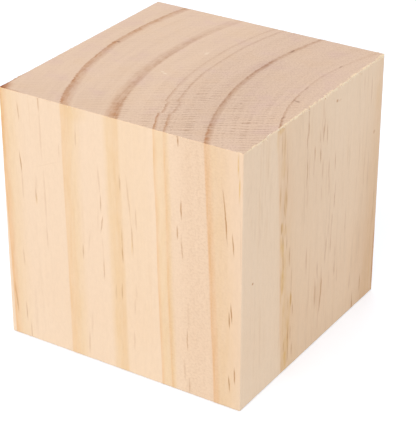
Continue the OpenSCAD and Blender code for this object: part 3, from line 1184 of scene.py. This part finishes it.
print("what a side may differ in:", ", ".join(Side._fields))

# %% [markdown]
# ## The planed sides: fine grain
#
# From close by, the plain wood between the bands isn't plain. Slow lines, grain and a few dark
# hairlines run up it and a faint mottle lies over it. The foot of the block is painted a touch
# paler and cooler. That is painted light, which offsets the warm light that the floor bounces
# onto the lower sides.
# In one strip, towards the right of the front face, the plane tore the grain a little, which
# reads as a rough, darker texture.

# %% Grain, mottle and torn strip
SIDE_SLOW = (0.965, 0.95, 0.93, 1.0)
GRAIN_TINT = (0.955, 0.94, 0.92, 1.0)
HAIRLINE_TINT = (0.955, 0.925, 0.885, 1.0)
# Painted light: the foot is painted paler and cooler, against the floor's warm bounced light.
PAINTED_FOOT_LIGHT = (1.010, 1.040, 1.070, 1.0)  # paler towards the base
PAINTED_FOOT_LIGHT_HEIGHT = 7.0  # mm
MOTTLE_TINT = (0.968, 0.962, 0.955, 1.0)
TORN_GRAIN_TINT = (0.920, 0.888, 0.855, 1.0)
TORN_GRAIN_X = 9.6  # mm, the middle of the torn strip


def side_grained(tree, in_mm, z, wood, side, colour):
    """The colour with slow lines, grain, hairlines, a foot painted paler against the floor's
    warm bounced light, and a mottle.
    """
    slow = rise(tree, wood["Slow lines"], 0.35, 0.7)
    colour = tinted(tree, maths(tree, "MULTIPLY", slow, 0.25), colour, SIDE_SLOW)
    for name, tint in (("Grain", GRAIN_TINT), ("Hairline", HAIRLINE_TINT)):
        shown = maths(tree, "MULTIPLY", wood[name], side.fine_grain)
        colour = tinted(tree, shown, colour, tint)
    colour = tinted(tree, rise(tree, z, PAINTED_FOOT_LIGHT_HEIGHT, 0.0), colour, PAINTED_FOOT_LIGHT)
    mottle = cloud(tree, in_mm, 2.4, (1, 1, 0.4), detail=4.0, roughness=0.75)
    return tinted(tree, rise(tree, mottle, 0.35, 0.68), colour, MOTTLE_TINT)


def side_torn(tree, in_mm, x, colour):
    """The colour with the torn strip, and its mask."""
    off_strip = maths(tree, "ABSOLUTE", maths(tree, "SUBTRACT", x, TORN_GRAIN_X))
    strip = maths(tree, "MULTIPLY", rise(tree, off_strip, 2.6, 0.6, 0.5, 0.95),
                  rise(tree, off_strip, 4.5, 3.0, 0.2, 1.0))
    torn = cloud(tree, in_mm, 4.4, (0.7, 1, 0.9), detail=3.0, roughness=0.75)
    torn = maths(tree, "MULTIPLY", rise(tree, torn, 0.4, 0.65), strip)
    return tinted(tree, torn, colour, TORN_GRAIN_TINT), torn


print("torn strip round x, mm:", TORN_GRAIN_X)

# %% [markdown]
# ## The planed sides: canals and arris in the colour
#
# A canal drawn as a perfect spindle looks printed. So a noise breaks it up along its length,
# and another moves it to the side by a few hundredths of a millimetre. At the top of the right
# face the arris is splintered, which shows as a pale broken line that widens towards the back.
# That line is partly the paler torn wood and partly a painted highlight, for the light that the
# arris catches.

# %% Canals and the splintered arris
CANAL_WANDER = 0.12  # mm that a canal may leave its straight line by, and mostly far less
FRONT_CANAL_TINT = (0.640, 0.480, 0.330, 1.0)
RIGHT_CANAL_TINT = (0.740, 0.580, 0.450, 1.0)
SIDE_ARRIS_WIDTH = (0.28, 0.46)  # mm
# Paler torn wood and a painted highlight along the top arris of the right face.
SIDE_ARRIS_PALE_AND_HIGHLIGHT = linear(255, 234, 194)


def side_marked(tree, in_mm, side, colour):
    """The colour with the side's canals and specks."""
    broken = rise(tree, cloud(tree, in_mm, 3.0, (1, 1, 0.3), detail=2.0), 0.3, 0.62, 0.72, 1.12)
    aside = maths(tree, "SUBTRACT", cloud(tree, in_mm, 0.9, (0.3, 0.3, 1), detail=2.0), 0.5)
    aside = maths(tree, "MULTIPLY", aside, CANAL_WANDER)
    crooked = vector_maths(tree, "ADD", in_mm, combined(tree, aside, aside))
    canals = maths(tree, "MULTIPLY", marked(tree, crooked, side.marks), broken)
    return tinted(tree, canals, colour, side.mark_tint)


def side_arris(tree, place, in_mm, x, y, z, colour):
    """The colour with the pale broken line at the top of the right face: torn wood and a painted
    highlight.
    """
    width = rise(tree, y, *ARRIS_TURNS_WIDE, *SIDE_ARRIS_WIDTH)
    worn_and_lit = place_group(tree, ARRIS_GROUP, Place=place, Width=width)["Mask"]
    top_right = maths(tree, "MULTIPLY", rise(tree, x, 14.85, 14.95), rise(tree, z, 29.3, 29.6))
    top_right = maths(tree, "MULTIPLY", top_right, rise(tree, y, -15.0, -14.2))
    splintered = rise(tree, cloud(tree, in_mm, 1.2, detail=3.0, roughness=0.7), 0.42, 0.54)
    rubbed_and_highlit = maths(tree, "MULTIPLY", worn_and_lit, maths(tree, "MULTIPLY", top_right, splintered))
    return blended(tree, rubbed_and_highlit, colour, SIDE_ARRIS_PALE_AND_HIGHLIGHT)


print("canals wander by up to", CANAL_WANDER / 2, "mm")

# %% [markdown]
# ## The planed finish
#
# The steps are strung together once and used for four materials. Planed wood has a slight
# sheen that its fibres break up, so the roughness follows them. Fibres, torn grain and
# hairlines also have small heights.

# %% The materials of the planed sides
def make_planed_side(name, side):
    """Smooth, warm long grain with yellow bands and short dark canals."""
    material, tree, shader, place = start_material(name)
    in_mm = as_millimetres(tree, place)
    x, y, z = separated(tree, in_mm)
    wood = place_group(tree, FIGURE_GROUP, Place=place)
    colour = side_banded(tree, in_mm, z, wood, side)
    colour = side_flamed(tree, in_mm, side, colour)
    colour = side_grained(tree, in_mm, z, wood, side, colour)
    colour, torn = side_torn(tree, in_mm, x, colour)
    colour = side_marked(tree, in_mm, side, colour)
    colour = side_arris(tree, place, in_mm, x, y, z, colour)
    tree.links.new(colour, shader.inputs["Base Color"])
    roughness = rise(tree, wood["Fibre"], 0.3, 0.7, 0.48, 0.62)
    tree.links.new(roughness, shader.inputs["Roughness"])
    shader.inputs["Specular IOR Level"].default_value = 0.5
    bumped(tree, shader, (wood["Fibre"], 0.005), (torn, -0.008), (wood["Hairline"], -0.006))
    return material


PLANED_FRONT = make_planed_side("planed_front", Side(
    PLANED_PALE, PLANED_BAND, PLANED_BAND, front_marks, FRONT_CANAL_TINT, front_gold, [], 0.5
))
PLANED_RIGHT = make_planed_side("planed_right", Side(
    RIGHT_PALE_WITH_PAINTED_LIGHT, RIGHT_BAND_TOP, RIGHT_BAND_LOW, right_marks, RIGHT_CANAL_TINT,
    right_gold, right_shade, 1.3
))
PLANED_BACK, PLANED_LEFT = [
    make_planed_side(name, Side(
        PLANED_PALE, PLANED_BAND, PLANED_BAND, marks, FRONT_CANAL_TINT, [], [], 0.8
    ))
    for name, marks in (("planed_back", back_marks), ("planed_left", left_marks))
]
print("planed front:", len(PLANED_FRONT.node_tree.nodes), "nodes")

# %% [markdown]
# ## The block: where its late wood is
#
# A block could be a cube with a Bevel, and from a step away that would do. Close up, a planed
# side isn't quite flat: the soft early wood lies about a hundredth of a millimetre lower than
# the hard late wood. So the mesh has to know where the bands are. This is the ring group once
# more, worked out with plain numbers in place of nodes.

# %% Late wood at a point
def smooth(value, start, end):
    """The same smooth step as in the shader groups."""
    share = min(1.0, max(0.0, (value - start) / (end - start)))
    return share * share * (3 - 2 * share)


def late_wood_here(point):
    """The share of late wood, from 0 to 1, at a point given in mm, as the finish colours it."""
    down = (block_high.z - point.z) / block_size.z
    total = 0.0
    for ring in RINGS:
        spoke = math.hypot(point.x - ring.lean * down - ring.x - ring.bend, point.y - ring.y)
        depth = (spoke - ring.bend) * ring.sharp
        begun = smooth(depth, -ring.soft / 2, ring.soft / 2)
        total += begun * smooth(depth, ring.fade, ring.flat) * ring.band
    return min(1.0, total)


print("late wood at the front left corner:", round(late_wood_here(block_low), 2))

# %% [markdown]
# ## The block: arrises
#
# Real arrises aren't even: the plane leaves the upright ones fairly crisp, and the saw and a
# wipe with sandpaper leave those round the ends ragged. Each point near an arris is drawn in
# onto a curve whose radius changes along the way. The point is first moved into the core that
# is left when the radius is taken off all round, and then out again by that radius.

# %% Shape of a point
LONG_ARRIS = 0.08  # mm, radius of the four upright arrises
END_ARRIS = 0.10  # mm, radius of the eight arrises round the ends
ARRIS_UNEVEN = 0.5  # share by which a radius changes along its arris
BAND_RELIEF = 0.012  # mm that the early wood lies below the late wood
END_UNEVEN = 0.02  # mm by which the sawn ends are out of true


def arris_radius(point, end_near):
    """The radius of the nearest arris: ragged round the ends, steadier on the sides."""
    if end_near:
        return END_ARRIS * (1 + ARRIS_UNEVEN * noise.noise(point * 2.3))
    return LONG_ARRIS * (1 + ARRIS_UNEVEN * noise.noise(point * 0.6))


def shaped(point):
    """Where a point of the sharp grid goes on the finished block, in mm."""
    half = block_size / 2
    offset = point - block_middle
    end_near = half.z - abs(offset.z) < 2 * END_ARRIS
    radius = arris_radius(point, end_near)
    core = Vector([max(-h + radius, min(h - radius, o)) for h, o in zip(half, offset)])
    outward = (offset - core).normalized()
    place = block_middle + core + outward * radius
    side = 1 - abs(outward.z)
    sink = side * BAND_RELIEF * (1 - late_wood_here(place))
    sink += abs(outward.z) * END_UNEVEN * (0.5 + 0.5 * noise.noise(place * 0.5))
    return place - outward * sink


print("a corner moves to, mm:", [round(c, 3) for c in shaped(block_high)])

# %% [markdown]
# ## The block: mesh
#
# The cube is cut into a fine grid with its rows crowded towards the arrises, where the shape
# changes fast, and every point is then shaped. A face's finish follows from where it looks.
# The piece is worked in millimetres and scaled to metres at the end, with its place in its
# mesh, so that the object itself stays at the origin.

# %% From a grid to the block
GRID_CUTS = 119
CROWDING = 0.8  # 0 spaces the grid evenly, and 1 crowds it most towards the arrises


def crowded(share):
    """Move a grid line, from -1 to 1, towards the nearer end."""
    return (1 - CROWDING) * share + CROWDING * math.sin(share * math.pi / 2)


def finished_object(name, bm, materials):
    """Turn a bmesh in mm into an object in metres, with smooth shading."""
    bmesh.ops.scale(bm, vec=(MM, MM, MM), verts=bm.verts)
    for face in bm.faces:
        face.smooth = True
    mesh = bpy.data.meshes.new(name)
    bm.to_mesh(mesh)
    bm.free()
    for material in materials:
        mesh.materials.append(material)
    piece = bpy.data.objects.new(name, mesh)
    bpy.context.scene.collection.objects.link(piece)
    print(name, "triangles:", sum(len(face.vertices) - 2 for face in mesh.polygons))
    return piece


def finish_number(normal):
    """Which of the block's finishes a face gets, by where it looks."""
    if abs(normal.z) > math.sqrt(0.5):
        return 0
    if abs(normal.y) > abs(normal.x):
        return 1 if normal.y < 0 else 3
    return 2 if normal.x > 0 else 4


def make_block():
    """The one piece of wood, with ragged arrises and late wood that stands proud."""
    bm = bmesh.new()
    bmesh.ops.create_cube(bm, size=2.0)
    bmesh.ops.subdivide_edges(bm, edges=bm.edges, cuts=GRID_CUTS, use_grid_fill=True)
    for vertex in bm.verts:
        even = Vector([crowded(share) for share in vertex.co])
        sharp = Vector([m + e * s / 2 for m, e, s in zip(block_middle, even, block_size)])
        vertex.co = shaped(sharp)
    bm.normal_update()
    for face in bm.faces:
        face.material_index = finish_number(face.normal)
    finishes = [SAWN_END, PLANED_FRONT, PLANED_RIGHT, PLANED_BACK, PLANED_LEFT]
    return finished_object("softwood_cube", bm, finishes)


cube_piece = make_block()

# %% [markdown]
# ## Loose fibres
#
# Where the saw comes out of the wood it lifts fibres along the arris instead of cutting them
# clean. Each one here is a slim tapered sliver, rooted just under the surface, because a hair
# of a millimetre that stands out breaks the too-straight outline of an edge. Torn fibres are
# paler than either face, because they scatter more light.

# %% One fibre and its finish
def make_fibre_finish():
    """Pale, dull torn wood."""
    material, tree, shader, place = start_material("torn_fibre")
    pale = cloud(tree, as_millimetres(tree, place), 2.0)
    colour = blended(tree, pale, linear(243, 216, 186), linear(254, 240, 216))
    tree.links.new(colour, shader.inputs["Base Color"])
    shader.inputs["Roughness"].default_value = 0.7
    return material


def add_sliver(bm, root, direction, length, radius):
    """One tapered sliver from root along direction."""
    turn = direction.to_track_quat("Z", "Y").to_matrix().to_4x4()
    middle = root + direction * (length / 2)
    bmesh.ops.create_cone(
        bm, cap_ends=True, segments=5, radius1=radius, radius2=radius * 0.25, depth=length,
        matrix=Matrix.Translation(middle) @ turn,
    )


TORN_FIBRE = make_fibre_finish()
print("fibre finish:", TORN_FIBRE.name)

# %% [markdown]
# ## Loose fibres along the top
#
# Most of them lie along the top arris of the right face, where the saw came out, and a few
# along the other three. They are many and small, so a seeded random choice places them. A
# dozen larger splinters on the right arris can be told apart, so those are set one by one.

# %% All loose fibres
FIBRE_SEED = 11
FIBRE_RADIUS = (0.02, 0.045)  # mm, at the root
FIBRE_LENGTH = (0.15, 0.42)  # mm
FIBRE_INSET = END_ARRIS * 0.45  # mm that a root lies inside the sharp arris
SPLINTER_RADIUS = 0.06  # mm
# How far each splinter is from the near end, its length in mm, and how far it turns from lying
# along the arris to sticking out and to pointing down.
SPLINTERS = [
    (4.2, 0.6, 0.5, -0.9), (4.4, 0.7, 0.3, 0.5), (6.4, 0.6, 0.1, -0.2), (7.6, 0.5, 0.2, -0.5),
    (10.8, 0.7, 0.1, -0.1), (12.4, 0.6, 0.2, -0.3), (13.9, 0.6, 0.1, -0.2), (16.3, 0.5, 0.4, -0.6),
    (19.4, 0.6, 0.1, -0.2), (20.8, 0.5, 0.2, -0.3), (24.3, 0.6, 0.2, -1.0), (24.9, 0.5, 0.1, -0.3),
]


def add_fibres(bm, start, end, outward, count, chance):
    """Slivers at chance places along one arris."""
    along = (end - start).normalized()
    for _ in range(count):
        place = start.lerp(end, chance.uniform(0.02, 0.98))
        root = place - outward * FIBRE_INSET + Vector((0, 0, -FIBRE_INSET))
        lift = chance.uniform(-1.0, 0.15)
        direction = (along * chance.uniform(-1.6, 1.6) + outward * 0.35
                     + Vector((0, 0, lift * 0.5))).normalized()
        length = chance.uniform(*FIBRE_LENGTH)
        add_sliver(bm, root, direction, length, chance.uniform(*FIBRE_RADIUS))


def make_fibres():
    """Slivers along the arrises round the top, most of them on the right."""
    chance = random.Random(FIBRE_SEED)
    bm = bmesh.new()
    left, front, _ = block_low
    right, back, top = block_high
    arrises = [  # start, end, outward, how many
        ((right, front, top), (right, back, top), (1, 0, 0), 150),
        ((left, front, top), (right, front, top), (0, -1, 0), 24),
        ((left, back, top), (right, back, top), (0, 1, 0), 30),
        ((left, front, top), (left, back, top), (-1, 0, 0), 24),
    ]
    for start, end, outward, count in arrises:
        add_fibres(bm, Vector(start), Vector(end), Vector(outward), count, chance)
    for from_front, length, out, turn in SPLINTERS:
        root = Vector((right - FIBRE_INSET, front + from_front, top - FIBRE_INSET))
        direction = Vector((out, 0.6, turn)).normalized()
        add_sliver(bm, root, direction, length, SPLINTER_RADIUS)
    return finished_object("loose_fibres", bm, [TORN_FIBRE])


fibre_piece = make_fibres()

# %% [markdown]
# ## Handing over
#
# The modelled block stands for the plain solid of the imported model, and the fibres ride on
# the same body. Last, the two boxes are written down, so that the sizes can be compared.

# %% Place the pieces and finish
for piece in (cube_piece, fibre_piece):
    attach(piece, "root")
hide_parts("block")

seen_low, seen_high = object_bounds()
boxes = {
    "cad": [list(cad_low), list(cad_high)],
    "visual": [list(seen_low), list(seen_high)],
}
print("cad box, m:", boxes["cad"])
print("visual box, m:", boxes["visual"])
